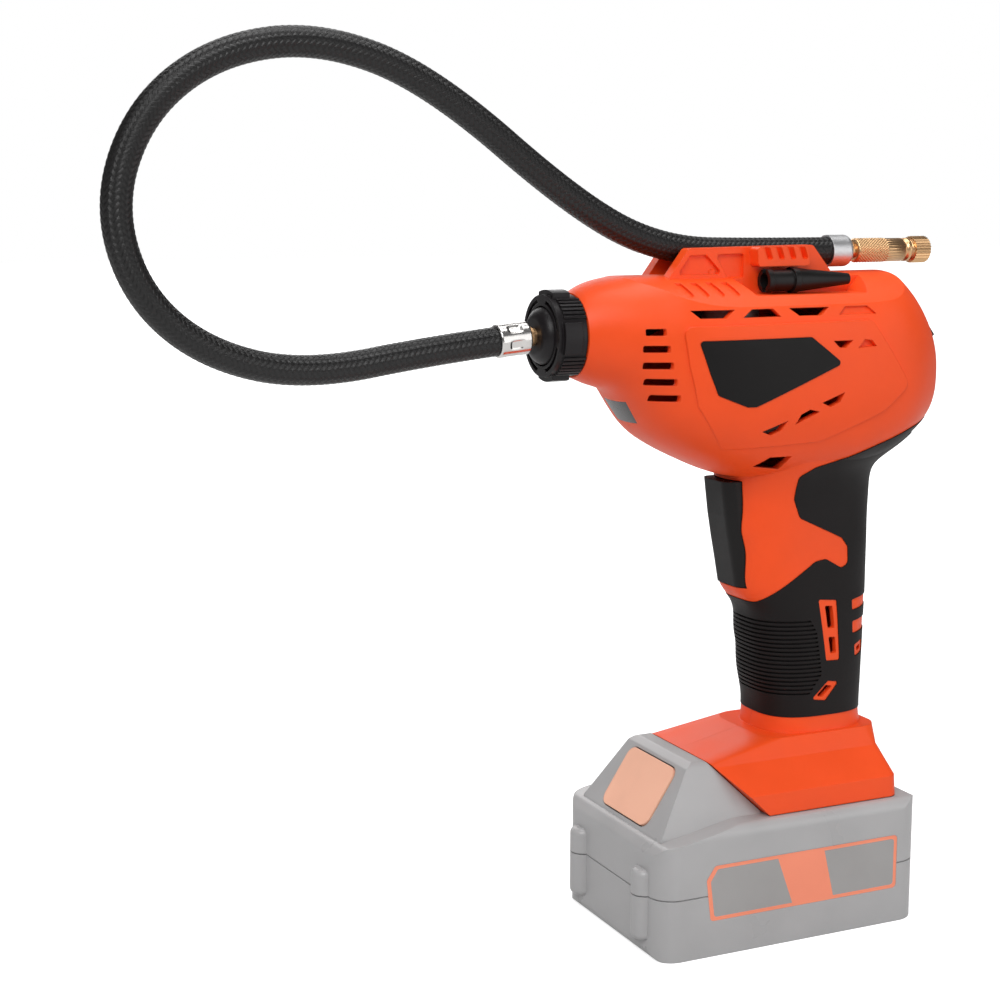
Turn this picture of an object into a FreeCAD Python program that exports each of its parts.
import FreeCAD, Part
import math
import os

from FreeCAD import Vector

os.makedirs("parts", exist_ok=True)

# Portable tire inflator on a slide-on battery pack.
# Millimetres, +Z up, nose towards -X, origin on the battery pack's bottom face.

# Walls, gaps and fits
shell_wall = 2.4
skin_depth = 1.7
proud = 0.3
soft_gap = 0.3
shaft_gap = 0.05
slide_gap = 0.3
reach = 60.0

# Barrel outline: points (x, value) along the barrel
nose_x = -72.4
tail_x = 79.5
roof_top = 242.3
roof_radius = 42.0
barrel_top = [
    (-72.4, 236.6), (-70, 238.4), (-64, 240.7), (-56, 242.2), (-48, 244.0), (-36, 246.6), (-20, 247.5),
    (30, 247.5), (50, 246.0), (58, 241.0), (64.5, 234.8), (69.6, 228.6), (74.2, 221.6), (77.4, 215.0),
    (79.5, 209.0),
]
barrel_bottom = [
    (-72.4, 207.1), (-66, 204.4), (-60, 202.4), (-57, 200.4), (-53, 195.2), (-49, 189.5), (-45.5, 185.6),
    (-40, 181.7), (-30, 176.5), (-19, 171.7), (-8, 168.2), (10, 166.7), (40, 169.5), (55, 174.5), (65, 179.5),
    (72.5, 184.5), (77.5, 190.0), (79.5, 195.5),
]
barrel_half_width = [
    (-72.4, 14.9), (-70, 15.8), (-64, 18.4), (-56, 21.8), (-48, 25.2), (-40, 28.0), (-30, 30.0), (-15, 31.2),
    (10, 31.5), (35, 31.2), (50, 29.6), (59, 26.8), (66, 22.8), (72, 17.8), (77, 11.0), (79.5, 6.5),
]
barrel_power = [(-72.4, 2.0), (-60, 2.15), (-45, 2.4), (-25, 2.6), (40, 2.6), (60, 2.5), (79.5, 2.3)]
barrel_stations = [
    -69.5, -66, -62.5, -59.5, -57, -54, -51, -48, -45, -41, -35, -26, -14, 0, 20, 38, 50, 57, 62.5, 67.5,
    71.5, 75, 77.8,
]

# Handle outline: points (z, value) up the handle
handle_front = [
    (56, 2.0), (68, 3.0), (72, 5.0), (78, 5.7), (95, 3.1), (105, 1.9), (116, 0.8), (119, -0.6), (122.5, -3.4),
    (127, -6.6), (140, -8.4), (155, -9.6), (166, -9.6), (174, -9.0), (181, -8.0),
]
handle_back = [
    (56, 49.5), (68, 50.2), (72, 49.2), (78, 48.3), (95, 48.8), (105, 49.2), (116, 49.8), (126, 50.9),
    (156, 51.4), (164, 51.8), (168, 52.8), (171.6, 55.8), (175, 61.8), (178, 67.5), (181, 72.0),
]
handle_half_width = [
    (56, 19.0), (68, 19.6), (72, 18.4), (78, 18.0), (95, 18.3), (105, 18.3), (116, 18.0), (126, 17.4),
    (150, 17.2), (160, 17.6), (168, 19.5), (174, 22.5), (181, 25.5),
]
handle_widest = [(56, 27), (78, 27), (95, 26), (116, 25), (127, 22), (160, 20), (170, 16), (181, 12)]
handle_power = [(56, 2.8), (116, 2.7), (127, 2.6), (160, 2.5), (172, 2.2), (181, 2.0)]
handle_stations = [
    56, 64, 68, 72, 78, 87, 96, 106, 113, 118, 122.5, 127, 134, 145, 156, 163, 168, 171.6, 175, 178, 181,
]

# Foot on the battery: (z, back x, half width, corner radius), and its sloping front face
foot_bottom_z = 47.6
foot_front_x = -34.0
foot_levels = [
    (47.6, 50.5, 33.0, 4.0), (55.2, 50.5, 32.2, 4.0), (65.0, 48.5, 22.8, 4.0), (71.8, 50.5, 19.8, 8.0),
]
foot_neck_front_x = 0.0
foot_face_x = -6.6
foot_face_angle = 45.0

# Soft grip: side outline (x, z) of the black skin, its windows and its ribbed pad
grip_outline = [
    (-14, 77.8), (-14, 124.0), (-6, 122.8), (-1, 121.6), (3.4, 124.9), (20.9, 136.6), (25.4, 137.2),
    (32.6, 133.2), (36.0, 134.4), (35.6, 141.0), (32.6, 144.6), (13.6, 153.4), (10.8, 160.4), (11.2, 169.2),
    (17.0, 172.6), (30, 175.6), (42, 179.8), (58, 184.6), (84, 190.0), (84, 77.8),
]
grip_outline_radius = 2.2
slot_frame = [(22.2, 122.3), (30.4, 121.4), (32.0, 98.4), (25.9, 98.7)]
slot_windows = [
    [(25.2, 119.6), (28.6, 119.2), (29.6, 110.8), (26.5, 111.0)],
    [(26.9, 107.6), (29.9, 107.4), (30.5, 101.2), (27.9, 101.3)],
]
lower_frame = [(27.1, 91.0), (32.0, 90.1), (26.2, 83.4), (20.0, 84.3)]
lower_window = [(26.3, 89.3), (29.5, 88.6), (24.9, 84.9), (22.3, 85.4)]
stripes = [
    [(38.0, 120.6), (60, 122.6), (60, 118.6), (38.0, 116.6)],
    [(38.2, 112.4), (60, 114.4), (60, 109.6), (38.4, 107.7)],
]
small_frame = [(39.4, 103.2), (45.0, 104.6), (45.4, 99.8), (40.0, 98.6)]
small_window = [(41.0, 102.0), (43.6, 102.8), (43.8, 100.8), (41.4, 100.2)]
pad_outline = [
    (-14, 118.4), (4.0, 116.4), (19.0, 114.6), (21.6, 110.0), (24.2, 93.6), (17.6, 84.0), (-2, 84.4),
    (-14, 86.0),
]
pad_ribs = 18
pad_low_z = 86.4
pad_high_z = 115.6
pad_groove = 0.7
pad_depth = 0.8

# Openings and raised lines of the barrel, side outlines (x, z)
roof_vents = [
    [(-39.2, 231.0), (-22.7, 231.0), (-26.3, 228.2), (-35.9, 228.2)],
    [(-15.8, 231.0), (-7.2, 231.0), (-4.4, 228.2), (-19.8, 228.2)],
    [(-0.6, 231.0), (16.2, 231.0), (12.5, 228.2), (3.4, 228.2)],
]
blind_roof_vent = [(23.0, 231.0), (32.6, 231.0), (36.0, 228.2), (20.0, 228.2)]
nose_slots = 5
nose_slot_pitch = 5.75
nose_slot_top_z = 224.0
nose_slot_height = 2.4
side_vents = [
    [(16.0, 219.2), (24.4, 219.2), (21.4, 216.6), (18.6, 216.8)],
    [(21.4, 200.8), (12.0, 197.4), (15.7, 195.7), (19.7, 197.4)],
    [(1.6, 190.0), (3.6, 193.6), (7.1, 195.2), (11.3, 194.2)],
    [(-1.6, 191.6), (-11.4, 188.0), (-7.7, 186.5), (-3.8, 188.2)],
    [(-9.4, 174.3), (-4.8, 177.9), (4.0, 177.9), (1.6, 172.8)],
]
blind_side_vent = [(26.6, 216.4), (29.4, 219.4), (32.5, 219.0), (34.6, 216.8)]
blind_depth = 0.9
shield_outline = [
    (-42.5, 225.6), (33.0, 226.2), (51.0, 202.0), (40.0, 193.0), (14.0, 183.0), (-24.0, 181.5),
    (-36.5, 198.0), (-40.5, 212.0),
]
shield_height = 0.8
shield_lift = 1.2
badge_depth = 0.9
skin_gap = 0.1
trigger_low_z = 127.4
trigger_high_z = 167.1
nose_slot_x0 = [-54.6, -55.4, -55.0, -53.8, -51.4]
nose_slot_x1 = [-47.8, -46.6, -45.5, -44.1, -42.4]
badge_outline = [
    (-37.5, 220.7), (6.8, 220.9), (19.9, 211.2), (-15.2, 197.2), (-18.5, 197.2), (-30.0, 201.7),
    (-33.3, 209.1),
]
badge_gap = 0.1

# Screws that join the halves: (x, z, depth of the head's seat from the middle)
screw_spots = [
    (-58.5, 208.0, 12.0), (-37.0, 190.0, 18.0), (-31.0, 236.0, 16.0), (25.0, 232.5, 18.0), (70.0, 190.5, 9.0),
    (44.0, 150.0, 6.0), (41.0, 90.0, 7.0), (42.0, 65.5, 14.0), (-9.0, 64.4, 14.0),
]
screw_radius = 1.45
screw_head_radius = 3.0
screw_head_height = 2.2
screw_grip = 8.0
boss_radius = 3.6

# Work light in the chin
chin_x = -52.6
chin_z = 194.0
chin_angle = 56.0
lens_length = 9.6
lens_top_half = 8.2
lens_low_half = 7.2
lens_depth = 1.6

# Nose, outlet and locking collar
outlet_z = 222.0
collar_front_x = -83.6
collar_back_x = -72.8
collar_radius = 14.3
collar_lug_radius = 16.0
collar_lug_width = 11.0
collar_lugs = 4
collar_ribs = 6
collar_rib_angle = 6.4
collar_slot_inner = 11.6
collar_slot_outer = 12.9
collar_slot_half = 6.2
collar_slot_depth = 1.6
block_radius = 9.5
flange_radius = 12.0
flange_length = 2.6
outlet_neck_radius = 6.0
dome_radius = 10.2
dome_front_x = -86.6
dome_back_x = -81.6
dome_edge = 4.2
nipple_radius = 2.9
fitting_tilt = 5.0

# Hose along the middle plane: (x, z) of its route
hose_diameter = 10.2
hose_radius = hose_diameter / 2
hose_bore = 2.95
nipple_reach = 11.5
front_ferrule_start = 2.2
dimple_count = 6
dimple_radius = 2.6
dimple_depth = 0.45
barb_start_x = -56.0
barb_length = 4.0
barb_radius = 1.55
air_hole_radius = 0.8
ferrule_wall = 0.75
ferrule_overlap = 8.0
front_ferrule_length = 10.4
hose_route = [
    (-122.0, 218.9), (-170.5, 211.6), (-204.5, 220.6), (-226.0, 240.6), (-233.0, 269.2),
    (-221.6, 297.6), (-197.0, 315.8), (-163.0, 320.9), (-124.5, 308.2), (-70.0, 266.3), (-36.0, 250.7),
    (3.6, 249.6), (41.2, 249.6),
]

# Rear ferrule and air chuck on the hose's end
chuck_z = 249.6
rear_ferrule_length = 9.4
chuck_neck_radius = 2.6
chuck_bore = 1.4
chuck_radius = 4.6
chuck_front_x = 45.4
chuck_knurl_x = 58.5
chuck_back_x = 70.0
chuck_nut_x = 70.4
chuck_end_x = 77.6
chuck_nut_radius = 4.7
nut_flutes = 28
valve_bore_radius = 3.9
valve_bore_length = 6.4

# Saddle clip on the roof, with the adapter's pocket in its left side
clip_outline = [(-42.5, 236.5), (-31.0, 251.7), (20.8, 252.3), (31.5, 239.5)]
clip_half_width = 10.2
clip_gap = 0.25
clip_relief = 1.4
clip_fields = [
    [(-35.6, 242.4), (-30.6, 249.2), (-23.8, 249.3), (-16.8, 242.4)],
    [(-20.2, 249.4), (-8.4, 249.6), (-8.4, 237.6), (-12.6, 237.6)],
]
cradle_places = [-22.0, -4.0, 14.0]
cradle_width = 2.4
cradle_low_z = 239.0
shoulder_slots = 4
shoulder_slot_x = -39.6
shoulder_slot_pitch = 6.2
pocket_floor_z = 235.3
pocket_outline = [(-13.4, 254.0), (-13.4, 240.0), (-10.6, 235.3), (36.0, 235.3), (41.0, 241.0), (34.0, 254.0)]
arm_x0 = -5.6
arm_x1 = 14.2
arm_top_z = 251.9
arm_reach = 15.8
arm_grooves = 4
adapter_y = 15.6
adapter_front_x = -3.2
adapter_flange_x = 7.6
adapter_tip_x = 32.4
adapter_radius = 4.6
adapter_stem_radius = 3.8
adapter_tip_radius = 2.0
adapter_bore_radius = 1.1

# Trigger, its spring and switch
trigger_front = [(127.4, -6.6), (137.0, -8.4), (152.0, -11.3), (167.1, -13.3)]
trigger_back_x = 3.5
stem_radius = 2.5
stem_reach = 7.0
trigger_half_width = 9.6
trigger_edge = 4.4
trigger_wall = 2.0
trigger_stem_z = 152.0
switch_x0 = 13.0
switch_x1 = 33.0
switch_half_width = 8.0
switch_z0 = 139.0
switch_z1 = 164.0
spring_radius = 3.8
spring_wall = 1.0

# Motor, gears and pump
motor_front_x = 12.0
motor_back_x = 56.0
motor_cap_length = 4.0
motor_radius = 17.0
motor_can_wall = 1.6
motor_z = 204.0
shaft_radius = 1.6
core_radius = 12.5
fan_x = 61.0
fan_length = 4.6
fan_radius = 13.0
fan_blades = 9
core_slots = 12
pinion_hole = 5.6
gear_module = 0.8
pinion_teeth = 10
gear_teeth = 30
pressure_angle = 20.0
gear_addendum = 0.55
pinion_addendum = 0.75
dedendum = 1.25
backlash = 0.1
gear_x0 = 2.6
gear_x1 = 8.4
crank_disc_x = 0.0
crank_throw = 5.0
axle_radius = 2.0
crank_pin_radius = 2.5
crank_pin_gap = 0.2
frame_thickness = 2.4
cylinder_x = -9.2
cylinder_bore_radius = 9.0
cylinder_wall = 1.9
cylinder_low_z = 205.0
cylinder_top_z = 225.0
head_height = 6.0
rod_length = 26.0
rod_width = 6.0
rod_thickness = 4.4
piston_height = 4.0
air_tube_radius = 3.0
air_tube_bore = 1.6
air_port_z = 228.0

# Display on the tail: centre, tilt of its face from level, and size along the slope and across
display_x = 70.6
display_z = 225.6
display_tilt = 53.0
display_half_length = 9.6
display_half_width = 10.4
display_floor = 5.4
display_tray_wall = 2.0
display_button_place = 5.4
display_button_pitch = 6.4
display_button_radius = 1.9

# Board in the handle, terminals in the foot
board_x = 11.0
board_thickness = 1.6
board_half_width = 9.0
board_z0 = 84.0
board_z1 = 119.0
rail_half_width = 22.5
pedestal_half_width = 19.0
rail_low_z = 53.5
rail_top_z = 57.8
channel_back_x = 44.0
terminal_x = 38.6
blade_pitch = 8.0
blades = 4
blade_thickness = 0.8
blade_reach = 11.0
blade_z0 = 50.4
blade_z1 = 55.8

# Battery pack
pack_front_x = -54.5
pack_back_x = 58.0
pack_half_width = 37.5
pack_corner = 9.0
pack_seam_z = 23.0
pack_seam_gap = 0.4
pack_top_z = 47.3
pack_wall = 2.2
pack_edge = 4.0
pack_profile = [
    (-54.5, 0), (-54.5, 38.5), (-51.5, 42.2), (-46.0, 43.2), (-20.0, 47.3), (58.0, 47.3), (58.0, 0),
]
hump_outline = [
    (-50.3, 41.0), (-50.3, 42.8), (-35.4, 65.6), (-32.5, 67.3), (-26.8, 67.3), (-7.5, 48.0), (-7.5, 41.0),
]
hump_low_half = 31.0
hump_top_half = 21.0
pedestal_front_x = -20.0
pedestal_back_x = 36.0
post_radius = 5.0
post_y = 24.0
post_x = -54.9
post_low_z = 6.0
post_top_z = 32.5
button_half_length = 12.0
button_half_width = 16.8
button_corner = 4.0
button_depth = 3.0
button_proud = 0.5
button_travel = 3.5
button_gap = 0.4
latch_z0 = 52.4
latch_z1 = 55.0
latch_hook_x = -8.0
latch_hook_z = 59.6
latch_half_width = 4.0
latch_spring_end_x = 4.0
latch_spring_radius = 2.2
cell_radius = 9.1
cell_length = 65.0
cell_pitch = 18.8
cell_middle_x = 3.0
cells_along = 5
cell_layers = [11.6, 30.4]
cell_roof_z = 40.6
contact_x0 = 25.0
contact_x1 = 33.0
contact_z0 = 49.0
pack_screws = [(-47.6, 28.0), (-47.6, -28.0), (53.6, 28.0), (53.6, -28.0)]
label_outline = [(-35.5, 29.0), (-32.0, 34.0), (47.0, 34.0), (47.0, 13.4), (-33.6, 13.4)]
label_depth = 0.7
label_band = [(-6.2, 34.5), (14.2, 34.5), (19.3, 13.0), (1.7, 13.0)]

# Small makers

def smooth(profile, at):
    """Monotone cubic through the points of a profile."""
    if at <= profile[0][0]:
        return profile[0][1]
    if at >= profile[-1][0]:
        return profile[-1][1]
    spans = [b[0] - a[0] for a, b in zip(profile, profile[1:])]
    slopes = [(b[1] - a[1]) / (b[0] - a[0]) for a, b in zip(profile, profile[1:])]
    tangents = [slopes[0]]
    for left, right in zip(slopes, slopes[1:]):
        tangents.append(0.0 if left * right <= 0 else 2.0 * left * right / (left + right))
    tangents.append(slopes[-1])
    index = max(i for i, point in enumerate(profile[:-1]) if point[0] <= at)
    t = (at - profile[index][0]) / spans[index]
    low = profile[index][1]
    high = profile[index + 1][1]
    value = (2 * t ** 3 - 3 * t ** 2 + 1) * low + (-2 * t ** 3 + 3 * t ** 2) * high
    value += (t ** 3 - 2 * t ** 2 + t) * spans[index] * tangents[index]
    value += (t ** 3 - t ** 2) * spans[index] * tangents[index + 1]
    return value


def rod(start, end, radius):
    """Cylinder between two points."""
    return Part.makeCylinder(radius, (end - start).Length, start, end - start)


def rod_x(x0, x1, radius, y=0.0, z=0.0):
    return rod(Vector(x0, y, z), Vector(x1, y, z), radius)


def rod_y(y0, y1, radius, x, z):
    return rod(Vector(x, y0, z), Vector(x, y1, z), radius)


def rod_z(z0, z1, radius, x, y):
    return rod(Vector(x, y, z0), Vector(x, y, z1), radius)


def block(x0, x1, y0, y1, z0, z1):
    return Part.makeBox(x1 - x0, y1 - y0, z1 - z0, Vector(x0, y0, z0))


def rounded_wire(points, radius):
    """Closed wire through corner points, each corner an arc tangent to its two sides."""
    count = len(points)
    edges = []
    starts = []
    ends = []
    middles = []
    for i, corner in enumerate(points):
        before = points[i - 1] - corner
        after = points[(i + 1) % count] - corner
        angle = before.getAngle(after)
        cut = radius / math.tan(angle / 2)
        cut = min(cut, 0.48 * before.Length, 0.48 * after.Length)
        size = cut * math.tan(angle / 2)
        before.normalize()
        after.normalize()
        bisector = before + after
        bisector.normalize()
        starts.append(corner + before * cut)
        ends.append(corner + after * cut)
        middles.append(corner + bisector * (size / math.sin(angle / 2) - size))
    for i in range(count):
        edges.append(Part.Arc(starts[i], middles[i], ends[i]).toShape())
        edges.append(Part.LineSegment(ends[i], starts[(i + 1) % count]).toShape())
    return Part.Wire(edges)


def plate_y(outline, y0, y1, radius=0.0):
    """Side-view outline of (x, z) points, extruded across the tool."""
    points = [Vector(x, y0, z) for x, z in outline]
    if radius > 0:
        wire = rounded_wire(points, radius)
    else:
        wire = Part.makePolygon(points + [points[0]])
    return Part.Face(wire).extrude(Vector(0, y1 - y0, 0))


def both_sides(outline, y0, y1, radius=0.0):
    """The same side-view plate on the left and on the right."""
    near = plate_y(outline, -y1, -y0, radius)
    far = plate_y(outline, y0, y1, radius)
    return near.fuse(far)


def loop_wire(points):
    curve = Part.BSplineCurve()
    parameters = [float(i) for i in range(len(points) + 1)]
    curve.interpolate(Points=points, PeriodicFlag=True, Parameters=parameters)
    return Part.Wire([curve.toShape()])


def power(value, exponent):
    return math.copysign(abs(value) ** exponent, value)


def barrel_wire(x, inset):
    """Superellipse across the barrel at one station."""
    top = smooth(barrel_top, x) - inset
    bottom = smooth(barrel_bottom, x) + inset
    width = smooth(barrel_half_width, x) - inset
    exponent = 2.0 / smooth(barrel_power, x)
    middle = (top + bottom) / 2
    height = (top - bottom) / 2
    points = []
    for step in range(36):
        angle = 2 * math.pi * step / 36
        y = width * power(math.cos(angle), exponent)
        z = middle + height * power(math.sin(angle), exponent)
        points.append(Vector(x, y, z))
    return loop_wire(points)


def barrel(inset):
    """Barrel body, inset from its outer face, under the round roof."""
    low = nose_x + max(inset, 0.0)
    high = tail_x - inset
    stations = [low] + [x for x in barrel_stations if low + 0.8 < x < high - 0.8] + [high]
    body = Part.makeLoft([barrel_wire(x, inset) for x in stations], True, False)
    roof = rod_x(nose_x - 1, tail_x + 1, roof_radius - inset, 0, roof_top - roof_radius)
    return body.common(roof)


def handle_wire(z, inset):
    """Egg-shaped superellipse across the handle at one height."""
    front = smooth(handle_front, z) + inset
    back = smooth(handle_back, z) - inset
    width = smooth(handle_half_width, z) - inset
    widest = smooth(handle_widest, z)
    exponent = 2.0 / smooth(handle_power, z)
    points = []
    for step in range(36):
        angle = 2 * math.pi * step / 36
        length = back - widest if math.cos(angle) > 0 else widest - front
        x = widest + length * power(math.cos(angle), exponent)
        y = width * power(math.sin(angle), exponent)
        points.append(Vector(x, y, z))
    return loop_wire(points)


def handle(inset):
    return Part.makeLoft([handle_wire(z, inset) for z in handle_stations], True, False)


def foot(inset):
    """Foot in straight-sided levels, cut in front by the slope that meets the battery's hump."""
    wires = []
    for z, back, width, corner in foot_levels:
        shift = 0.0
        if z == foot_bottom_z:
            shift = inset
        if z == foot_levels[-1][0]:
            shift = -inset
        front = foot_neck_front_x if z == foot_levels[-1][0] else foot_front_x
        corners = [(front, -1), (back, -1), (back, 1), (front, 1)]
        points = []
        for x, side in corners:
            x_in = x + inset if x == front else x - inset
            points.append(Vector(x_in, side * (width - inset), z + shift))
        wires.append(rounded_wire(points, corner))
    body = Part.makeLoft(wires, True, True)
    slope = math.radians(foot_face_angle)
    edge = foot_face_x + inset / math.sin(slope)
    return body.cut(plate_y(in_front_of(edge, foot_bottom_z, slope), -reach, reach))


def in_front_of(x, z, slope):
    """Side outline of everything in front of a line that leans back through (x, z)."""
    up = Vector(-math.cos(slope), 0, math.sin(slope))
    low = Vector(x, 0, z) - up * 20
    high = Vector(x, 0, z) + up * 70
    return [(low.x, low.z), (high.x, high.z), (high.x - 60, high.z), (low.x - 130, low.z)]


def leaning(shape, x, z, angle):
    """Turns a shape made about the origin so that its +Z leans towards +X, and puts it at (x, z)."""
    turned = shape.copy()
    turned.rotate(Vector(0, 0, 0), Vector(0, 1, 0), angle)
    turned.translate(Vector(x, 0, z))
    return turned


def swept_tube(points, radius, bore=0.0):
    """Round tube along straight runs joined by arcs as large as the runs allow; prints the radii."""
    edges = []
    radii = []
    cursor = points[0]
    for before, corner, after in zip(points, points[1:], points[2:]):
        back = before - corner
        ahead = after - corner
        turn = math.pi - back.getAngle(ahead)
        cut = 0.45 * min(back.Length, ahead.Length)
        size = cut / math.tan(turn / 2)
        radii.append(size)
        back.normalize()
        ahead.normalize()
        bisector = back + ahead
        bisector.normalize()
        middle = corner + bisector * (size / math.cos(turn / 2) - size)
        edges.append(Part.LineSegment(cursor, corner + back * cut).toShape())
        edges.append(Part.Arc(corner + back * cut, middle, corner + ahead * cut).toShape())
        cursor = corner + ahead * cut
    edges.append(Part.LineSegment(cursor, points[-1]).toShape())
    path = Part.Wire(edges)
    start = points[1] - points[0]
    tube = None
    for size in [radius, bore]:
        if size > 0:
            ring = Part.Wire([Part.Circle(points[0], start, size).toShape()])
            solid = path.makePipeShell([ring], True, False)
            tube = solid if tube is None else tube.cut(solid)
    print("tube radii", [round(size, 1) for size in radii], "length", round(path.Length, 1))
    share = tube.Volume / (math.pi * (radius ** 2 - bore ** 2) * path.Length)
    print("tube volume over section times length", round(share, 4))
    return tube


def tilted(shape):
    """Turns a fitting made along X at z 0 nose down about the dome's front."""
    turned = shape.copy()
    turned.rotate(Vector(0, 0, 0), Vector(0, 1, 0), -fitting_tilt)
    turned.translate(Vector(dome_front_x, 0, outlet_z))
    return turned


def star_x(x0, x1, radius, depth, count, z):
    """Straight-knurled disc along X."""
    points = []
    for i in range(2 * count):
        size = radius if i % 2 == 0 else radius - depth
        angle = math.pi * i / count
        points.append(Vector(x0, size * math.cos(angle), z + size * math.sin(angle)))
    return Part.Face(Part.makePolygon(points + [points[0]])).extrude(Vector(x1 - x0, 0, 0))


def gear_x(x0, x1, z, teeth, addendum, first_angle):
    """Involute spur gear along X at height z, one tooth centred at first_angle degrees from +Y."""
    pitch = gear_module * teeth / 2
    base = pitch * math.cos(math.radians(pressure_angle))
    tip = pitch + addendum * gear_module
    root = pitch - dedendum * gear_module
    half_tooth = math.pi / (2 * teeth) - backlash / (4 * pitch)
    at_pitch = math.tan(math.radians(pressure_angle)) - math.radians(pressure_angle)
    flank = [(root, half_tooth + at_pitch)]
    for step in range(6):
        size = max(base, root) + (tip - max(base, root)) * step / 5
        roll = math.acos(min(1.0, base / size))
        flank.append((size, half_tooth + at_pitch - (math.tan(roll) - roll)))
    points = []
    for tooth in range(teeth):
        middle = math.radians(first_angle) + 2 * math.pi * tooth / teeth
        for size, angle in flank:
            at = middle - angle
            points.append(Vector(x0, size * math.cos(at), z + size * math.sin(at)))
        for size, angle in reversed(flank):
            at = middle + angle
            points.append(Vector(x0, size * math.cos(at), z + size * math.sin(at)))
    return Part.Face(Part.makePolygon(points + [points[0]])).extrude(Vector(x1 - x0, 0, 0))


def pack_prism(inset, z0, z1):
    corners = []
    for x, side in pack_plan_points:
        x_in = x + inset if x == pack_front_x else x - inset
        corners.append(Vector(x_in, side * (pack_half_width - inset), z0))
    return Part.Face(rounded_wire(corners, pack_corner - inset)).extrude(Vector(0, 0, z1 - z0))


def plate_x(outline, x0, x1, radius=0.0):
    """Front-view outline of (y, z) points, extruded along the tool."""
    points = [Vector(x0, y, z) for y, z in outline]
    wire = rounded_wire(points, radius) if radius > 0 else Part.makePolygon(points + [points[0]])
    return Part.Face(wire).extrude(Vector(x1 - x0, 0, 0))


def slope_plate(half_length, half_width, corner, z0, z1):
    corners = [
        Vector(-half_length, -half_width, z0), Vector(half_length, -half_width, z0),
        Vector(half_length, half_width, z0), Vector(-half_length, half_width, z0)
    ]
    return Part.Face(rounded_wire(corners, corner)).extrude(Vector(0, 0, z1 - z0))


def end_circles(shape):
    """The round edges at the two ends of a rod that lies along an axis."""
    circles = [edge for edge in shape.Edges if len(edge.Vertexes) == 1]
    return [edge for edge in circles if min(edge.BoundBox.XLength, edge.BoundBox.ZLength) < 0.1]


def biggest(shape):
    """The largest solid of a shape, as one closed solid."""
    return max(shape.Solids, key=lambda solid: solid.Volume)


def half(shape, side):
    """One side of the middle plane: side is -1 for the left half, 1 for the right half."""
    low = -2 * reach if side < 0 else 0.0
    return shape.common(block(-3 * reach, 3 * reach, low, low + 2 * reach, -reach, 6 * reach))


def save(name, shape):
    solids = shape.Solids
    whole = solids[0] if len(solids) == 1 else Part.makeCompound(solids)
    whole.exportStep("parts/" + name + ".step")
    valid = all(solid.isValid() for solid in solids)
    print(name, len(solids), round(sum(solid.Volume for solid in solids), 1), valid)

# Barrel, handle and foot in one skin

outer = barrel(0.0).fuse(handle(0.0)).fuse(foot(0.0))
hollow = barrel(shell_wall).fuse(handle(shell_wall)).fuse(foot(shell_wall))

channel_half = rail_half_width + slide_gap
neck_half = pedestal_half_width + slide_gap
channel_low_z = rail_low_z - slide_gap
channel_top_z = rail_top_z + slide_gap
channel = block(-reach, channel_back_x, -channel_half, channel_half, channel_low_z, channel_top_z)
channel = channel.fuse(
    block(-reach, channel_back_x, -neck_half, neck_half, foot_bottom_z - 1, channel_low_z + 1)
)
lining = block(
    -reach, channel_back_x + shell_wall, -channel_half - 2, channel_half + 2, foot_bottom_z, channel_top_z + 2
)
latch_groove = block(
    -reach, latch_hook_x + 5.0, -latch_half_width - 1, latch_half_width + 1, channel_top_z - 1, latch_hook_z + 0.6
)
hollow = hollow.cut(lining)

# Saddle clip, its cradles and the arm over the adapter's pocket
clip = both_sides(clip_outline, hose_diameter / 2 + clip_gap, clip_half_width, 2.0)
for field in clip_fields:
    clip = clip.cut(both_sides(field, clip_half_width - clip_relief, clip_half_width + 1, 1.0))
cradle_top_z = hose_route[-1][1] - hose_diameter / 2 - 0.4
for x in cradle_places:
    cradle = block(x, x + cradle_width, -clip_half_width + 1, clip_half_width - 1, cradle_low_z, cradle_top_z)
    clip = clip.fuse(cradle)
arm_low_z = pocket_floor_z + 2 * adapter_radius + 0.6
arm = plate_y(
    [(arm_x0, arm_low_z), (arm_x0 - 0.6, arm_top_z), (arm_x1 + 1, arm_top_z), (arm_x1 + 2, arm_low_z)],
    -arm_reach, -clip_half_width + 1, 1.2
)
groove_pitch = (arm_x1 - arm_x0) / arm_grooves
for i in range(arm_grooves):
    x = arm_x0 + (i + 0.3) * groove_pitch
    top = arm_top_z + 1
    low = arm_low_z + 2.4
    groove = [(x, top), (x + 2.6, top), (x + 4.6, low), (x + 2.2, low)]
    arm = arm.cut(plate_y(groove, -arm_reach - 1, -clip_half_width - 2.4, 0.6))
clip = clip.fuse(arm)

pocket_lining = plate_y([(x, z - 2) for x, z in pocket_outline], -reach, -clip_half_width + 2)
pocket = plate_y(pocket_outline, -reach, -clip_half_width)
pocket = pocket.cut(arm)

# Display tray sunk in the tail
tray_wall = block(
    -display_half_length - display_tray_wall, display_half_length + display_tray_wall,
    -display_half_width - display_tray_wall, display_half_width + display_tray_wall,
    -display_floor - display_tray_wall, 30
)
tray_space = block(
    -display_half_length, display_half_length, -display_half_width, display_half_width, -display_floor, 30
)
tray_wall = leaning(tray_wall, display_x, display_z, display_tilt)
tray_space = leaning(tray_space, display_x, display_z, display_tilt)

# Raised shield and the plates set in it
shield = barrel(-shield_height)
shield.translate(Vector(0, 0, shield_lift))
shield = shield.common(both_sides(shield_outline, 10, reach, 3.0))
badge_floor = badge_depth + badge_gap
badge_pocket = both_sides(badge_outline, 10, reach, 1.2).cut(barrel(badge_floor))

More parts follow.
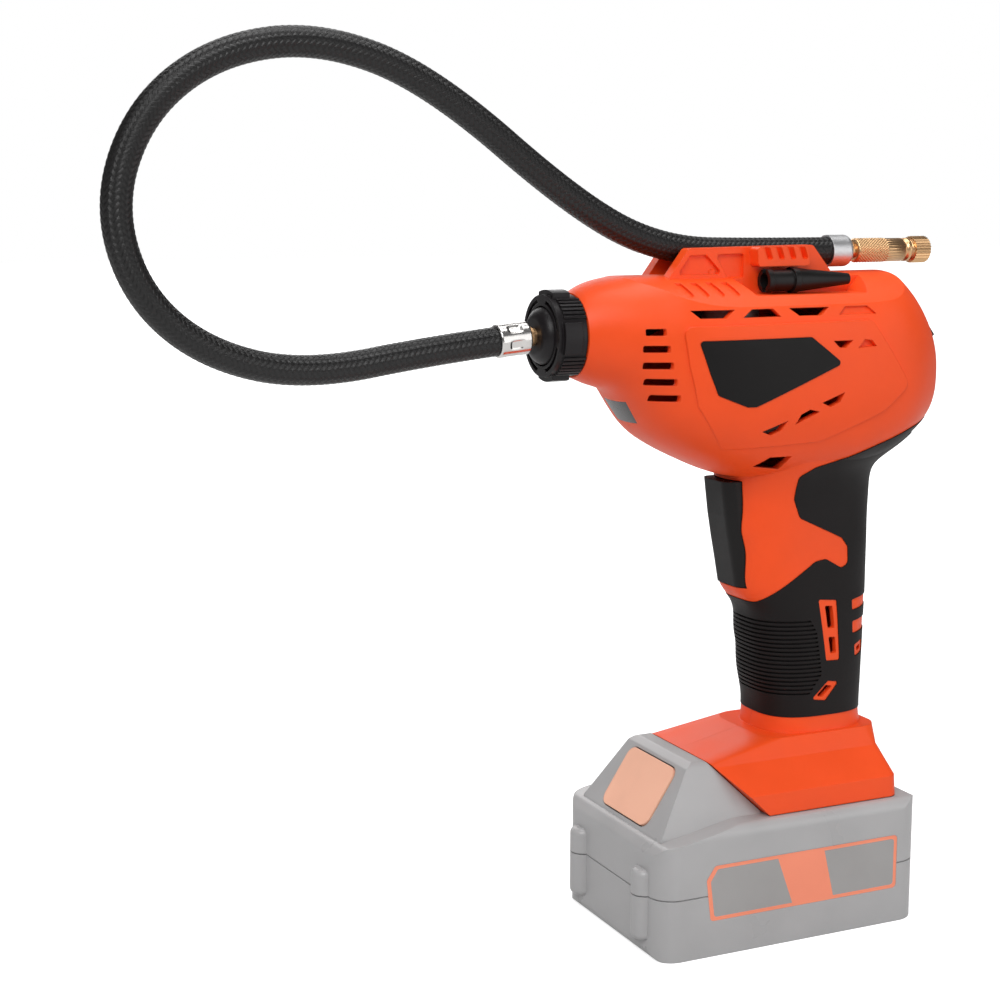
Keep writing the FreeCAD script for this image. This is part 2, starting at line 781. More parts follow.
# Shell with its linings, bosses and motor ribs
linings = [clip.cut(hollow), pocket_lining.common(outer), tray_wall.common(outer)]
for x in [motor_front_x + 13, motor_back_x - 11]:
    rib = block(x, x + 2, -reach, reach, motor_z - 20, motor_z + 20).common(outer)
    linings.append(rib.cut(rod_x(x - 1, x + 3, motor_radius + 0.1, 0, motor_z)))
for x, z, seat in screw_spots:
    linings.append(rod_y(-reach, reach, boss_radius, x, z).common(outer))
shell = outer.fuse(shield).cut(hollow).fuse(linings)

# Vents, blind vents and slots, through the wall or to a set depth
cuts = [channel, latch_groove, pocket, tray_space, badge_pocket]
for outline in roof_vents + side_vents:
    cuts.append(both_sides(outline, 12, reach))
shallow = []
for outline in [blind_roof_vent, blind_side_vent]:
    shallow.append(both_sides(outline, 12, reach))
for i in range(shoulder_slots):
    x = shoulder_slot_x + i * shoulder_slot_pitch
    slot = [(x, 241.6), (x + 2.6, 241.6), (x + 4.2, 235.4), (x + 1.6, 235.4)]
    shallow.append(both_sides(slot, 14, reach, 0.8))
cuts.append(Part.makeCompound(shallow).cut(barrel(blind_depth)))
for i in range(nose_slots):
    top = nose_slot_top_z - i * nose_slot_pitch + 1
    low = top - nose_slot_height
    slot = [(nose_slot_x0[i], top), (nose_slot_x1[i], top), (nose_slot_x1[i], low), (nose_slot_x0[i], low)]
    cuts.append(both_sides(slot, 12, reach, 0.6))

# Nose hole, trigger slot, lens seat, terminal window
cuts.append(rod_x(nose_x - 5, nose_x + 6, block_radius + shaft_gap, 0, outlet_z))
slot_half = trigger_half_width + slide_gap
cuts.append(block(-25, 3, -slot_half, slot_half, trigger_low_z - slide_gap, trigger_high_z + slide_gap))
lens_prism = Part.Face(Part.makePolygon([
    Vector(-lens_length / 2, -lens_low_half, 0), Vector(lens_length / 2, -lens_top_half, 0),
    Vector(lens_length / 2, lens_top_half, 0), Vector(-lens_length / 2, lens_low_half, 0),
    Vector(-lens_length / 2, -lens_low_half, 0)
])).extrude(Vector(0, 0, 12))
lens_prism.translate(Vector(0, 0, -5))
lens_prism = leaning(lens_prism, chin_x, chin_z, -180 + chin_angle)
lens_skin = barrel(0.0).cut(barrel(lens_depth))
cuts.append(lens_prism.common(barrel(-1).cut(barrel(lens_depth))))
cuts.append(leaning(block(-3.4, 3.4, -5, 5, -6, 6), chin_x, chin_z, -180 + chin_angle))
cuts.append(block(channel_back_x - 1, channel_back_x + 4, -13.1, 13.1, 50.3, 56.1))

# Soft grip pocket, with the orange frames and stripes left standing
region = plate_y(grip_outline, -reach, reach, grip_outline_radius)
frames = [both_sides(outline, 4, reach, 0.8) for outline in [slot_frame, lower_frame, small_frame] + stripes]
region = region.cut(frames)
grip_back = barrel(skin_depth + skin_gap).fuse(handle(skin_depth + skin_gap))
cuts.append(region.cut(grip_back))
for outline in slot_windows + [lower_window, small_window]:
    cuts.append(plate_y(outline, -reach, reach, 0.5))

# Screw holes: pilot in the left half, clearance and a seat for the head in the right half
holes = []
for x, z, seat in screw_spots:
    hole = rod_y(-screw_grip - 1, 0.5, screw_radius, x, z)
    hole = hole.fuse(rod_y(0, seat + 1, screw_radius + 0.1, x, z))
    holes.append(hole.fuse(rod_y(seat, reach, screw_head_radius + 0.2, x, z)))
shell = shell.cut(cuts + holes)
save("housing_left", biggest(half(shell, -1)))
save("housing_right", biggest(half(shell, 1)))

# Soft grips
grip_skin = barrel(-proud).fuse(handle(-proud)).cut(barrel(skin_depth).fuse(handle(skin_depth)))
grip_skin = grip_skin.common(region)
rib_pitch = (pad_high_z - pad_low_z) / pad_ribs
rib_rows = []
for i in range(pad_ribs):
    z = pad_low_z + i * rib_pitch
    rib_rows.append(block(-20, 30, -25, 25, z, z + pad_groove))
pad = plate_y(pad_outline, -reach, reach, 1.5).common(Part.makeCompound(rib_rows))
grip_skin = grip_skin.cut([pad.cut(handle(pad_depth - proud))] + holes)
save("grip_left", biggest(half(grip_skin, -1)))
save("grip_right", biggest(half(grip_skin, 1)))

# Plates in the shield
plate_skin = barrel(-shield_height - 0.3)
plate_skin.translate(Vector(0, 0, shield_lift))
plate_skin = plate_skin.cut(barrel(badge_depth))
for side, name in [(-1, "badge_left"), (1, "badge_right")]:
    prism = plate_y(badge_outline, side * 10, side * reach, 1.2)
    save(name, biggest(plate_skin.common(prism)))

# Screws of the halves
screws = []
for x, z, seat in screw_spots:
    screw = rod_y(-screw_grip, seat + 0.5, screw_radius - 0.05, x, z)
    screw = screw.fuse(rod_y(seat, seat + screw_head_height, screw_head_radius, x, z))
    top = seat + screw_head_height
    screw = screw.cut(block(x - 1.8, x + 1.8, top - 1.2, top + 1, z - 0.4, z + 0.4))
    screw = screw.cut(block(x - 0.4, x + 0.4, top - 1.2, top + 1, z - 1.8, z + 1.8))
    screws.append(screw)
save("housing_screws", Part.makeCompound(screws))

# Work light: lens and its board
lens = biggest(lens_prism.common(lens_skin))
save("led_lens", lens)
light_board = block(-4.4, 4.4, -7.0, 7.0, -4.2, -3.0).fuse(block(-1.4, 1.4, -1.4, 1.4, -3.1, 0.0))
light_board = leaning(light_board, chin_x, chin_z, -180 + chin_angle)
save("led_board", biggest(light_board.cut(lens_prism.common(barrel(-1).cut(barrel(lens_depth))))))

# Nose: outlet block, dome, nipple and front ferrule; the hose leaves tilted nose down
outlet_block = rod_x(collar_front_x + 2, nose_x + 10, block_radius, 0, outlet_z)
flange_x = nose_x + shell_wall
outlet_block = outlet_block.fuse([
    rod_x(flange_x, flange_x + flange_length, flange_radius, 0, outlet_z),
    rod_x(nose_x + 9, barb_start_x, outlet_neck_radius, 0, outlet_z),
    rod_x(barb_start_x - 1, barb_start_x + barb_length, barb_radius, 0, outlet_z)
])
outlet_block = outlet_block.cut([
    rod_x(collar_front_x, barb_start_x - 3, nipple_radius, 0, outlet_z),
    rod_x(barb_start_x - 4, barb_start_x + 10, air_hole_radius, 0, outlet_z)
])
save("outlet_block", outlet_block)

nipple = tilted(rod_x(-nipple_reach, 2.0, nipple_radius)).fuse(
    rod_x(dome_front_x + 0.6, dome_back_x + 6, nipple_radius, 0, outlet_z))
nipple = biggest(nipple)
dome = rod_x(dome_front_x, dome_back_x, dome_radius, 0, outlet_z)
front_edges = [edge for edge in dome.Edges if edge.BoundBox.XMax < dome_front_x + 0.1]
dome = dome.makeFillet(dome_edge, front_edges).cut(nipple)
save("outlet_dome", dome)
nipple = nipple.fuse(tilted(rod_x(-front_ferrule_start + 0.1, -0.8, nipple_radius + 0.5)))
nipple = nipple.cut(rod_x(dome_front_x + 3, dome_back_x + 10, air_hole_radius + 0.4, 0, outlet_z))
nipple = nipple.cut(tilted(rod_x(-nipple_reach - 1, 4.2, air_hole_radius + 0.4)))
save("hose_nipple", nipple)

ferrule_radius = hose_radius + ferrule_wall
front_ferrule = rod_x(-front_ferrule_start - front_ferrule_length, -front_ferrule_start, ferrule_radius)
front_ferrule = front_ferrule.makeFillet(0.6, end_circles(front_ferrule))
hose_start = front_ferrule_start + front_ferrule_length - ferrule_overlap
front_ferrule = front_ferrule.cut(rod_x(-reach, -hose_start, hose_radius))
front_ferrule = front_ferrule.cut(rod_x(-reach, 0, nipple_radius))
dimples = []
for i in range(dimple_count):
    angle = 2 * math.pi * (i + 0.25) / dimple_count
    away = ferrule_radius + dimple_radius - dimple_depth
    y = away * math.cos(angle)
    z = away * math.sin(angle)
    middle = -front_ferrule_start - front_ferrule_length / 2
    dimples.append(rod_x(middle - 1.8, middle + 1.8, dimple_radius, y, z))
save("front_ferrule", tilted(front_ferrule.cut(dimples)))

# Braided hose, from ferrule to ferrule
tilt = math.radians(fitting_tilt)
start = Vector(dome_front_x - hose_start * math.cos(tilt), 0, outlet_z - hose_start * math.sin(tilt))
route = [start] + [Vector(x, 0, z) for x, z in hose_route]
save("hose", swept_tube(route, hose_radius, hose_bore))

# Rear ferrule and the air chuck
hose_end_x = hose_route[-1][0]
ferrule_start_x = hose_end_x - ferrule_overlap
end_x = ferrule_start_x + rear_ferrule_length
rear_ferrule = rod_x(ferrule_start_x, end_x, ferrule_radius, 0, chuck_z)
rear_edges = [edge for edge in rear_ferrule.Edges if edge.BoundBox.XMin > end_x - 0.1]
rear_ferrule = rear_ferrule.makeFillet(2.0, rear_edges)
rear_ferrule = rear_ferrule.cut(rod_x(ferrule_start_x - 1, hose_end_x, hose_radius, 0, chuck_z))
rear_ferrule = rear_ferrule.cut(rod_x(hose_end_x - 1, end_x + 1, chuck_neck_radius, 0, chuck_z))
save("rear_ferrule", rear_ferrule)

neck = rod_x(ferrule_start_x, chuck_front_x, chuck_neck_radius, 0, chuck_z)
neck = neck.cut(rod_x(ferrule_start_x - 1, chuck_front_x + 1, air_hole_radius + 0.4, 0, chuck_z))
save("chuck_neck", neck)

chuck = rod_x(chuck_front_x, chuck_back_x, chuck_radius, 0, chuck_z)
chuck = chuck.makeChamfer(0.7, end_circles(chuck))
ring = rod_x(chuck_back_x - 3.4, chuck_back_x - 2.2, chuck_radius + 1, 0, chuck_z)
chuck = chuck.cut(ring.cut(rod_x(chuck_back_x - 4, chuck_back_x - 1, chuck_radius - 0.7, 0, chuck_z)))
spigot_x = chuck_end_x - valve_bore_length
chuck = chuck.fuse(rod_x(chuck_back_x - 1, spigot_x, valve_bore_radius - shaft_gap, 0, chuck_z))
chuck = chuck.cut(rod_x(chuck_front_x - 1, spigot_x + 1, chuck_bore, 0, chuck_z))
save("chuck_body", chuck)

nut = star_x(chuck_nut_x + 0.6, chuck_end_x, chuck_nut_radius + 0.3, 0.35, nut_flutes, chuck_z)
nut = nut.fuse(rod_x(chuck_nut_x, chuck_nut_x + 0.7, chuck_nut_radius - 0.5, 0, chuck_z))
nut = nut.cut(rod_x(chuck_nut_x - 1, chuck_end_x + 1, valve_bore_radius, 0, chuck_z))
save("chuck_nut", nut)
seal = rod_x(spigot_x, spigot_x + 1.6, valve_bore_radius - 0.3, 0, chuck_z)
save("chuck_seal", seal.cut(rod_x(spigot_x - 1, spigot_x + 2, chuck_bore, 0, chuck_z)))
pin = rod_x(chuck_knurl_x, chuck_end_x - 2, 0.8, 0, chuck_z)
save("chuck_pin", pin.fuse(rod_x(chuck_knurl_x, chuck_knurl_x + 1.6, chuck_bore, 0, chuck_z)))

# Locking collar round the nose
collar = rod_x(collar_front_x, collar_back_x, collar_radius, 0, outlet_z)
for i in range(collar_lugs):
    lug_half = collar_lug_width / 2
    lug = block(collar_front_x + 1.6, collar_back_x - 2.6, -lug_half, lug_half, 0, collar_lug_radius)
    lug = lug.common(rod_x(collar_front_x, collar_back_x, collar_lug_radius))
    lug.rotate(Vector(0, 0, 0), Vector(1, 0, 0), 90 * i)
    lug.translate(Vector(0, 0, outlet_z))
    collar = collar.fuse(lug)
    for k in range(collar_ribs):
        rib = block(collar_front_x + 2.2, collar_back_x, -0.5, 0.5, collar_radius - 1, collar_radius + 0.7)
        turn = 90 * i + 45 + (k - (collar_ribs - 1) / 2) * collar_rib_angle
        rib.rotate(Vector(0, 0, 0), Vector(1, 0, 0), turn)
        rib.translate(Vector(0, 0, outlet_z))
        collar = collar.fuse(rib)
collar = collar.cut(rod_x(collar_front_x - 1, collar_back_x + 1, block_radius + shaft_gap, 0, outlet_z))
collar = collar.cut(rod_x(collar_front_x - 1, dome_back_x + 0.3, dome_radius + soft_gap, 0, outlet_z))
for i in range(collar_lugs):
    arc = rod_x(collar_front_x - 1, collar_front_x + collar_slot_depth, collar_slot_outer)
    arc = arc.cut(rod_x(collar_front_x - 2, collar_back_x, collar_slot_inner))
    arc = arc.common(block(collar_front_x - 2, collar_back_x, -collar_slot_half, collar_slot_half, 0, 20))
    arc.rotate(Vector(0, 0, 0), Vector(1, 0, 0), 90 * i + 45)
    arc.translate(Vector(0, 0, outlet_z))
    collar = collar.cut(arc)
save("collar", collar)

# Adapter nozzle kept in the clip's pocket
adapter_z = pocket_floor_z + adapter_radius + 0.2
tip = Part.makeCone(
    adapter_radius - 0.2, adapter_tip_radius, adapter_tip_x - adapter_flange_x - 2,
    Vector(adapter_flange_x + 2, -adapter_y, adapter_z), Vector(1, 0, 0)
)
adapter = tip.fuse([
    rod_x(adapter_front_x, adapter_flange_x + 1, adapter_stem_radius, -adapter_y, adapter_z),
    rod_x(adapter_flange_x, adapter_flange_x + 2.4, adapter_radius, -adapter_y, adapter_z),
    rod_x(adapter_front_x, adapter_front_x + 2.2, adapter_radius - 0.3, -adapter_y, adapter_z)
])
adapter_slit = block(
    adapter_front_x - 1, adapter_front_x + 3.4, -adapter_y - 1.1, -adapter_y + 1.1, adapter_z - 8, adapter_z + 8
)
adapter = adapter.cut([
    rod_x(adapter_front_x - 1, adapter_tip_x + 1, adapter_bore_radius, -adapter_y, adapter_z),
    rod_x(adapter_front_x - 1, adapter_front_x + 6, adapter_stem_radius - 1.1, -adapter_y, adapter_z),
    adapter_slit
])
save("adapter_nozzle", adapter)

# Trigger with its stem, spring and switch
trigger_levels = [127.4, 131.0, 137.0, 145.0, 154.0, 161.0, 167.1]


def trigger_body(inset, back):
    wires = []
    for z in trigger_levels:
        front = smooth(trigger_front, z) + inset
        half_width = trigger_half_width - inset
        z_in = min(max(z, trigger_low_z + inset), trigger_high_z - inset)
        corners = [(front, -half_width), (back, -half_width), (back, half_width), (front, half_width)]
        wires.append(rounded_wire([Vector(x, y, z_in) for x, y in corners], trigger_edge - inset / 2))
    return Part.makeLoft(wires, True, True)

trigger = trigger_body(0.0, trigger_back_x)
trigger = trigger.cut(trigger_body(trigger_wall, trigger_back_x + 8))
flange = block(trigger_back_x - 2, trigger_back_x, -11.2, 11.2, trigger_low_z - 1.2, trigger_high_z + 0.2)
flange = flange.cut(block(
    -10, 10, -trigger_half_width + trigger_wall, trigger_half_width - trigger_wall,
    trigger_low_z + trigger_wall, trigger_high_z - trigger_wall))
trigger = trigger.fuse(flange)
stem_start = smooth(trigger_front, trigger_stem_z) + trigger_wall
trigger = trigger.fuse(rod_x(stem_start - 0.6, switch_x0 + stem_reach, stem_radius, 0, trigger_stem_z))
save("trigger", trigger)
spring_start = smooth(trigger_front, trigger_stem_z - spring_radius) + trigger_wall + 0.15
spring = rod_x(spring_start, switch_x0 - 0.02, spring_radius, 0, trigger_stem_z)
spring = spring.cut(rod_x(stem_start - 5, switch_x0 + 1, spring_radius - spring_wall, 0, trigger_stem_z))
save("trigger_spring", spring)
switch = block(switch_x0, switch_x1, -switch_half_width, switch_half_width, switch_z0, switch_z1)
switch = switch.cut(rod_x(switch_x0 - 1, switch_x1 - 4, stem_radius + shaft_gap, 0, trigger_stem_z))
for y in [-4.5, 4.5]:
    switch = switch.fuse(block(switch_x1 - 1, switch_x1 + 4, y - 1.5, y + 1.5, switch_z0 + 4, switch_z0 + 4.8))
save("trigger_switch", switch)

# Motor: can with its front wall, rear cap, rotor, fan and pinion
can = rod_x(motor_front_x, motor_back_x - motor_cap_length, motor_radius, 0, motor_z)
can = can.cut(rod_x(
    motor_front_x + motor_can_wall, motor_back_x, motor_radius - motor_can_wall, 0, motor_z))
can = can.cut(rod_x(motor_front_x - 1, motor_back_x, shaft_radius + shaft_gap, 0, motor_z))
save("motor_can", can)
cap = rod_x(motor_back_x - motor_cap_length, motor_back_x, motor_radius, 0, motor_z)
cap = cap.fuse(rod_x(motor_back_x - 1, motor_back_x + 2, 5.0, 0, motor_z))
save("motor_end_cap", cap.cut(rod_x(motor_front_x, motor_back_x + 3, shaft_radius + shaft_gap, 0, motor_z)))
save("rotor_shaft", rod_x(gear_x0, fan_x + fan_length + 0.4, shaft_radius, 0, motor_z))
core_x0 = motor_front_x + 5
core_x1 = motor_back_x - 9
core = rod_x(core_x0, core_x1, core_radius, 0, motor_z)
for i in range(core_slots):
    slot = block(core_x0 - 1, core_x1 + 1, -0.9, 0.9, core_radius - 5, core_radius + 1)
    slot.rotate(Vector(0, 0, 0), Vector(1, 0, 0), 360 / core_slots * i)
    slot.translate(Vector(0, 0, motor_z))
    core = core.cut(slot)
save("rotor_core", core.cut(rod_x(0, reach, shaft_radius, 0, motor_z)))
fan = rod_x(fan_x, fan_x + fan_length, 4.0, 0, motor_z)
for i in range(fan_blades):
    blade = block(-0.5, 0.5, -3.4, 3.4, 3.0, fan_radius)
    blade.rotate(Vector(0, 0, 0), Vector(0, 0, 1), 50)
    blade.rotate(Vector(0, 0, 0), Vector(1, 0, 0), 360 / fan_blades * i)
    blade.translate(Vector(fan_x + fan_length / 2, 0, motor_z))
    fan = fan.fuse(blade)
fan = fan.common(rod_x(fan_x, fan_x + fan_length, fan_radius, 0, motor_z))
save("cooling_fan", fan.cut(rod_x(fan_x - 1, fan_x + fan_length + 1, shaft_radius, 0, motor_z)))

gear_z = motor_z - gear_module * (pinion_teeth + gear_teeth) / 2
pinion = gear_x(gear_x0, gear_x1, motor_z, pinion_teeth, pinion_addendum, -90 + 180 / pinion_teeth)
save("pinion", pinion.cut(rod_x(gear_x0 - 1, gear_x1 + 1, shaft_radius, 0, motor_z)))
crank_gear = gear_x(gear_x0, gear_x1, gear_z, gear_teeth, gear_addendum, 90)
crank_gear = crank_gear.fuse(rod_x(crank_disc_x, gear_x0, crank_throw + crank_pin_radius + 1, 0, gear_z))
save("crank_gear", crank_gear.cut(rod_x(crank_disc_x - 1, gear_x1 + 1, axle_radius + shaft_gap, 0, gear_z)))

# Pump frame: plate with the gear's axle, cylinder, head, valve
plate_x0 = motor_front_x - frame_thickness
frame_plate = block(plate_x0, motor_front_x, -15, 15, gear_z - 10, cylinder_top_z - 2)
frame_plate = frame_plate.cut(rod_x(0, motor_front_x + 1, pinion_hole, 0, motor_z))
frame_plate = frame_plate.cut(rod_x(0, motor_front_x + 1, axle_radius, 0, gear_z))
save("gear_plate", frame_plate)
save("gear_axle", rod_x(crank_disc_x + 0.4, motor_front_x, axle_radius, 0, gear_z))
washer = rod_x(gear_x1 + 0.2, plate_x0, axle_radius + 2, 0, gear_z)
save("gear_washer", washer.cut(rod_x(0, motor_front_x, axle_radius, 0, gear_z)))
pin_z = gear_z - crank_throw
cylinder = rod_z(cylinder_low_z, cylinder_top_z, cylinder_bore_radius + cylinder_wall, cylinder_x, 0)
cylinder = cylinder.fuse(block(cylinder_x, plate_x0, -9, 9, motor_z + 7, cylinder_top_z - 3))
cylinder = cylinder.cut(rod_z(cylinder_low_z - 1, cylinder_top_z - 2, cylinder_bore_radius, cylinder_x, 0))
cylinder = cylinder.cut(rod_z(cylinder_low_z, cylinder_top_z + 1, 2.0, cylinder_x, 0))
save("cylinder", cylinder)
valve = rod_z(cylinder_top_z, cylinder_top_z + 0.6, 4.0, cylinder_x, 0)
save("outlet_valve", valve)
head_radius = cylinder_bore_radius + cylinder_wall + 1
head_top_z = cylinder_top_z + head_height
cylinder_head = rod_z(cylinder_top_z, head_top_z, head_radius, cylinder_x, 0)
port_x = cylinder_x - head_radius
cylinder_head = cylinder_head.fuse(rod_x(port_x - barb_length, port_x + 2, barb_radius, 0, air_port_z))
cylinder_head = cylinder_head.cut(rod_z(cylinder_top_z - 1, head_top_z - 1.6, 6.0, cylinder_x, 0))
cylinder_head = cylinder_head.cut(rod_x(port_x - 10, cylinder_x, air_hole_radius, 0, air_port_z))
for i in range(5):
    fin = block(cylinder_x - 14 + i * 5, cylinder_x - 11.6 + i * 5, -20, 20, head_top_z - 1.0, head_top_z + 1)
    cylinder_head = cylinder_head.cut(fin)
save("cylinder_head", cylinder_head)
air_route = [
    Vector(port_x - 0.2, 0, air_port_z), Vector(port_x - 10.5, 0, air_port_z),
    Vector(barb_start_x + 10.5, 0, outlet_z), Vector(barb_start_x + 0.2, 0, outlet_z)
]
save("air_tube", swept_tube(air_route, air_tube_radius, air_tube_bore))

# Crank pin, rod with piston, and its seal, at the bottom of the stroke
rod_x0 = cylinder_x - rod_thickness / 2
rod_x1 = cylinder_x + rod_thickness / 2
save("crank_pin", rod_x(rod_x0 - 0.8, crank_disc_x - crank_pin_gap, crank_pin_radius, 0, pin_z))
wrist_z = pin_z + rod_length
piston_rod = rod_x(rod_x0, rod_x1, crank_pin_radius + 2, 0, pin_z)
piston_rod = piston_rod.fuse(block(rod_x0, rod_x1, -rod_width / 2, rod_width / 2, pin_z, wrist_z))
piston_rod = piston_rod.cut(rod_x(rod_x0 - 1, rod_x1 + 1, crank_pin_radius, 0, pin_z))
piston_z1 = cylinder_top_z - 2 - 2 * crank_throw - 0.4
piston_z0 = piston_z1 - piston_height
piston = rod_z(piston_z0, piston_z1, cylinder_bore_radius - 0.4, cylinder_x, 0)
seal_z0 = piston_z0 + 1.0
seal_z1 = piston_z1 - 1.0
seal_ring = rod_z(seal_z0, seal_z1, cylinder_bore_radius - shaft_gap, cylinder_x, 0)
seal_ring = seal_ring.cut(rod_z(seal_z0 - 1, seal_z1 + 1, cylinder_bore_radius - 1.6, cylinder_x, 0))
save("connecting_rod", piston_rod.fuse(piston).cut(seal_ring))
save("piston_seal", seal_ring)

# Display in the tail's tray
bezel = block(
    -display_half_length + 0.1, display_half_length - 0.1, -display_half_width + 0.1, display_half_width - 0.1,
    -1.4, 0.0
)
bezel = bezel.cut(block(-8.0, 1.6, -8.4, 8.4, -0.9, 1)).cut(block(-7.2, 0.8, -7.6, 7.6, -2, 1))
display_buttons = []
for k in [-1, 0, 1]:
    y = k * display_button_pitch
    bezel = bezel.cut(rod(
        Vector(display_button_place, y, -3), Vector(display_button_place, y, 1), display_button_radius + 0.1))
    button = rod(
        Vector(display_button_place, y, -3.0), Vector(display_button_place, y, 0.7), display_button_radius)
    button = button.fuse(rod(
        Vector(display_button_place, y, -3.0), Vector(display_button_place, y, -1.6), display_button_radius + 0.6))
    display_buttons.append(button)
save("display_bezel", leaning(bezel, display_x, display_z, display_tilt))
window = block(-7.9, 1.5, -8.3, 8.3, -0.9, -0.1)
save("display_window", leaning(window, display_x, display_z, display_tilt))
display_board = block(-9.2, 9.2, -10.0, 10.0, -display_floor, -4.2)
display_board = display_board.fuse(block(-8.2, 1.8, -8.6, 8.6, -4.3, -1.5))
save("display_board", leaning(display_board, display_x, display_z, display_tilt))
for button, name in zip(display_buttons, ["button_minus", "button_unit", "button_plus"]):
    save(name, leaning(button, display_x, display_z, display_tilt))

# Control board in the handle
board = block(board_x, board_x + board_thickness, -board_half_width, board_half_width, board_z0, board_z1)
board = board.fuse(rod_x(board_x + 1, board_x + 9, 4.0, -4.5, board_z1 - 7))
board = board.fuse(block(board_x + 1, board_x + 7, 1.0, 9.0, board_z1 - 16, board_z1 - 3))
board = board.fuse(block(board_x + 1, board_x + 3, -6.0, 2.0, board_z0 + 4, board_z0 + 12))
save("control_board", board)

# Terminals in the foot
terminal = block(terminal_x, channel_back_x, -17, 17, foot_bottom_z + 1, rail_top_z)
terminal = terminal.fuse(block(channel_back_x - 1, channel_back_x + 3, -13, 13, 50.4, 56.0))
blade_set = []
for i in range(blades):
    y = (i - (blades - 1) / 2) * blade_pitch
    blade = block(
        terminal_x - blade_reach, channel_back_x + 3.4, y - blade_thickness / 2, y + blade_thickness / 2,
        blade_z0, blade_z1
    )
    blade_set.append(blade)
terminal = terminal.cut(blade_set)
save("terminal_block", terminal)
save("terminal_blades", Part.makeCompound(blade_set))

# Battery pack: plan outline, side outline and hump
pack_plan_points = [(pack_front_x, -1), (pack_back_x, -1), (pack_back_x, 1), (pack_front_x, 1)]

pack = pack_prism(0.0, 0.0, pack_top_z)
pack = pack.common(plate_y(pack_profile, -reach, reach, 3.0))
front_view = [
    (-pack_half_width, -0.1), (pack_half_width, -0.1), (pack_half_width, pack_top_z),
    (-pack_half_width, pack_top_z),
]
pack = pack.common(plate_x(front_view, -reach - 5, reach + 5, pack_edge).fuse(
    block(-reach - 5, reach + 5, -pack_half_width, pack_half_width, 0, 20)))
pack = pack.common(block(-reach, reach, -reach, reach, 0, reach))
hump_view = [(-hump_low_half, 40), (hump_low_half, 40), (hump_top_half, 67.3), (-hump_top_half, 67.3)]
hump = plate_y(hump_outline, -reach, reach, 1.6).common(plate_x(hump_view, -reach, reach, 3.0))
pedestal = block(
    pedestal_front_x, pedestal_back_x, -pedestal_half_width, pedestal_half_width, pack_top_z - 3, rail_low_z + 1
)
pedestal = pedestal.fuse(
    block(pedestal_front_x, pedestal_back_x, -rail_half_width, rail_half_width, rail_low_z, rail_top_z)
)
posts = []
for side in [-1, 1]:
    post = rod_z(post_low_z, post_top_z, post_radius, post_x + 1.6, side * post_y)
    posts.append(post.makeFillet(2.4, end_circles(post)))
pack = pack.fuse([hump, pedestal] + posts)

pack_hollow = pack_prism(pack_wall, pack_wall, cell_roof_z)
seam = pack_prism(-10, pack_seam_z - pack_seam_gap / 2, pack_seam_z + pack_seam_gap / 2)
seam = seam.cut(pack_prism(0.5, pack_seam_z - 1, pack_seam_z + 1))

slope_angle = math.degrees(math.atan2(
    hump_outline[2][1] - hump_outline[1][1], hump_outline[2][0] - hump_outline[1][0]))
slope_x = (hump_outline[1][0] + hump_outline[2][0]) / 2
slope_z = (hump_outline[1][1] + hump_outline[2][1]) / 2


def on_slope(shape):
    """Places a shape made about the origin on the hump's front slope, +Z outwards, +X up the slope."""
    return leaning(shape, slope_x, slope_z, -slope_angle)

button_well = on_slope(slope_plate(
    button_half_length + button_gap, button_half_width + button_gap, button_corner,
    button_proud - button_depth - button_travel - 0.4, 10))
arm_space = block(
    -50, latch_spring_end_x, -latch_half_width - 0.4, latch_half_width + 0.4, latch_z0 - 2.4, rail_top_z + 12)
arm_side = [(-46, 49.5), (-20, 70), (latch_spring_end_x, 70), (latch_spring_end_x, 49.5)]
arm_space = arm_space.common(plate_y(arm_side, -reach, reach))
contact_slots = []
forks = []
for i in range(blades):
    y = (i - (blades - 1) / 2) * blade_pitch
    contact_slots.append(block(contact_x0 - 1, pedestal_back_x + 1, y - 1.4, y + 1.4, contact_z0, rail_top_z + 1))
    fork = block(contact_x0, contact_x1, y - 1.1, y + 1.1, contact_z0, blade_z1)
    fork = fork.cut(block(contact_x0 - 1, contact_x1 + 1, y - 0.5, y + 0.5, contact_z0 + 0.8, blade_z1 + 1))
    forks.append(fork)
label_skin = pack_prism(0.0, 0, reach).cut(pack_prism(label_depth, -1, reach + 1))
label_field = both_sides(label_outline, 20, reach, 1.6)
pack_cuts = [pack_hollow, seam, button_well, arm_space, label_field.common(label_skin)] + contact_slots
screw_holes = []
pack_screw_set = []
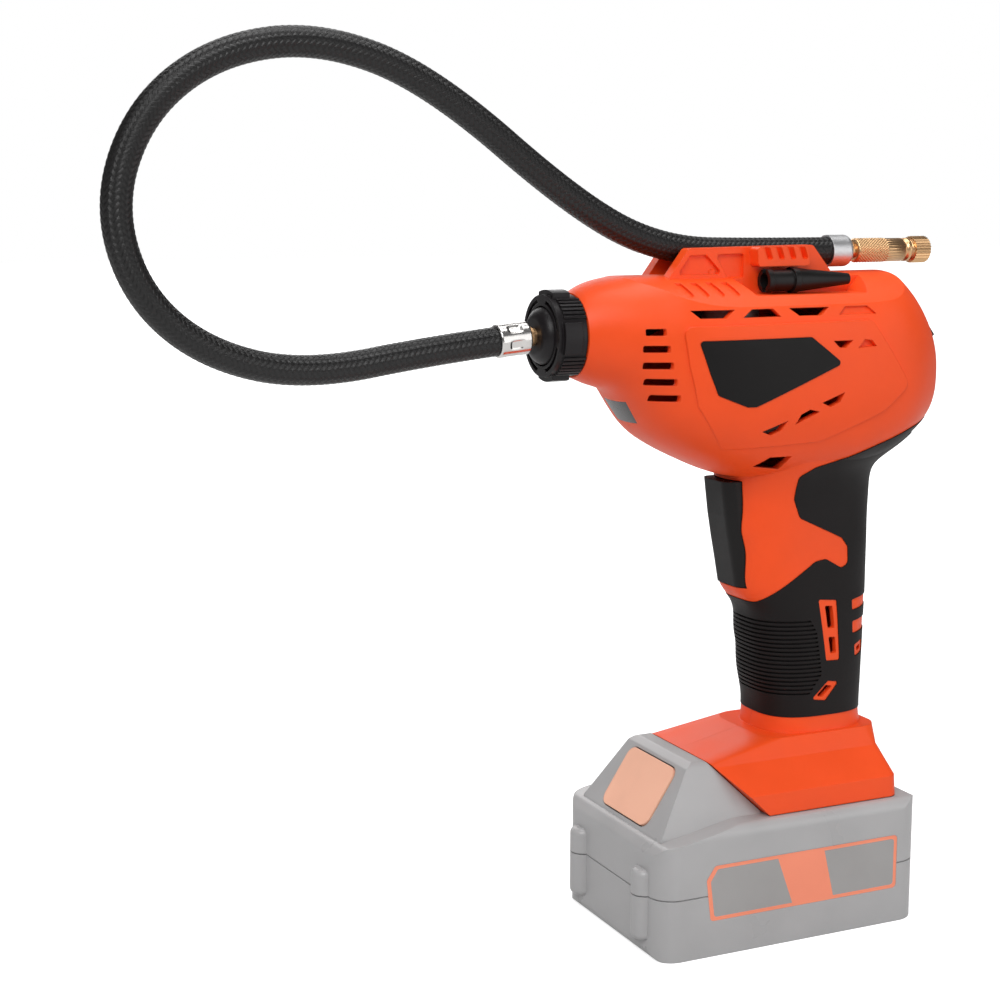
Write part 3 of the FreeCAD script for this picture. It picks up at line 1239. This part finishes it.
for x, y in pack_screws:
    screw_holes.append(rod_z(-1, 3.0, 2.9, x, y).fuse(rod_z(0, pack_seam_z + 4, 1.45, x, y)))
    screw = rod_z(0.9, 2.9, 2.7, x, y).fuse(rod_z(2, pack_seam_z + 3, 1.4, x, y))
    pack_screw_set.append(screw.cut(block(x - 1.6, x + 1.6, y - 0.4, y + 0.4, 0, 1.9)))
towers = []
for x, y in pack_screws:
    towers.append(rod_z(0.5, cell_roof_z + 1, 3.6, x, y))
pack = pack.cut(pack_cuts).fuse(towers).cut(screw_holes)
save("battery_lower", biggest(pack.common(block(-80, 80, -80, 80, -1, pack_seam_z))))
save("battery_upper", biggest(pack.common(block(-80, 80, -80, 80, pack_seam_z, 200))))
save("battery_screws", Part.makeCompound(pack_screw_set))
save("battery_contacts", Part.makeCompound(forks))
cells = []
for layer in cell_layers:
    for i in range(cells_along):
        x = cell_middle_x + (i - (cells_along - 1) / 2) * cell_pitch
        cells.append(rod_y(-cell_length / 2, cell_length / 2, cell_radius, x, layer))
save("cells", Part.makeCompound(cells))

# Label fields, their bright rim and band
label = label_field.common(label_skin.common(pack_prism(0.1, 0, reach)))
rim_steps = [(1.8, -0.8), (1.2, -1.4), (-1.4, -1.4), (-1.4, 1.4), (1.6, 1.4)]
rim_inner = [(x + step_x, z + step_z) for (x, z), (step_x, step_z) in zip(label_outline, rim_steps)]
inside = both_sides(rim_inner, 20, reach, 1.2)
band = both_sides(label_band, 20, reach)
save("label_trim", label.cut(inside).fuse(label.common(inside).common(band)))
save("battery_labels", label.common(inside).cut(band))

# Release button with its latch arm, and the spring behind it
plate = on_slope(slope_plate(
    button_half_length, button_half_width, button_corner, button_proud - button_depth, button_proud))
arm = block(-44, latch_hook_x, -latch_half_width, latch_half_width, latch_z0, latch_z1)
arm = arm.cut(on_slope(block(-40, 40, -40, 40, button_proud - 1, 40)))
arm = arm.fuse(block(
    latch_hook_x - 2.6, latch_hook_x, -latch_half_width, latch_half_width, latch_z1 - 1, latch_hook_z))
save("battery_button", plate.fuse(arm))
spring_z = (latch_z0 + latch_z1) / 2 + 0.6
button_spring = rod_x(latch_hook_x + 0.05, latch_spring_end_x - 0.05, latch_spring_radius, 0, spring_z)
save("button_spring", button_spring.cut(rod_x(-30, 30, latch_spring_radius - 0.8, 0, spring_z)))
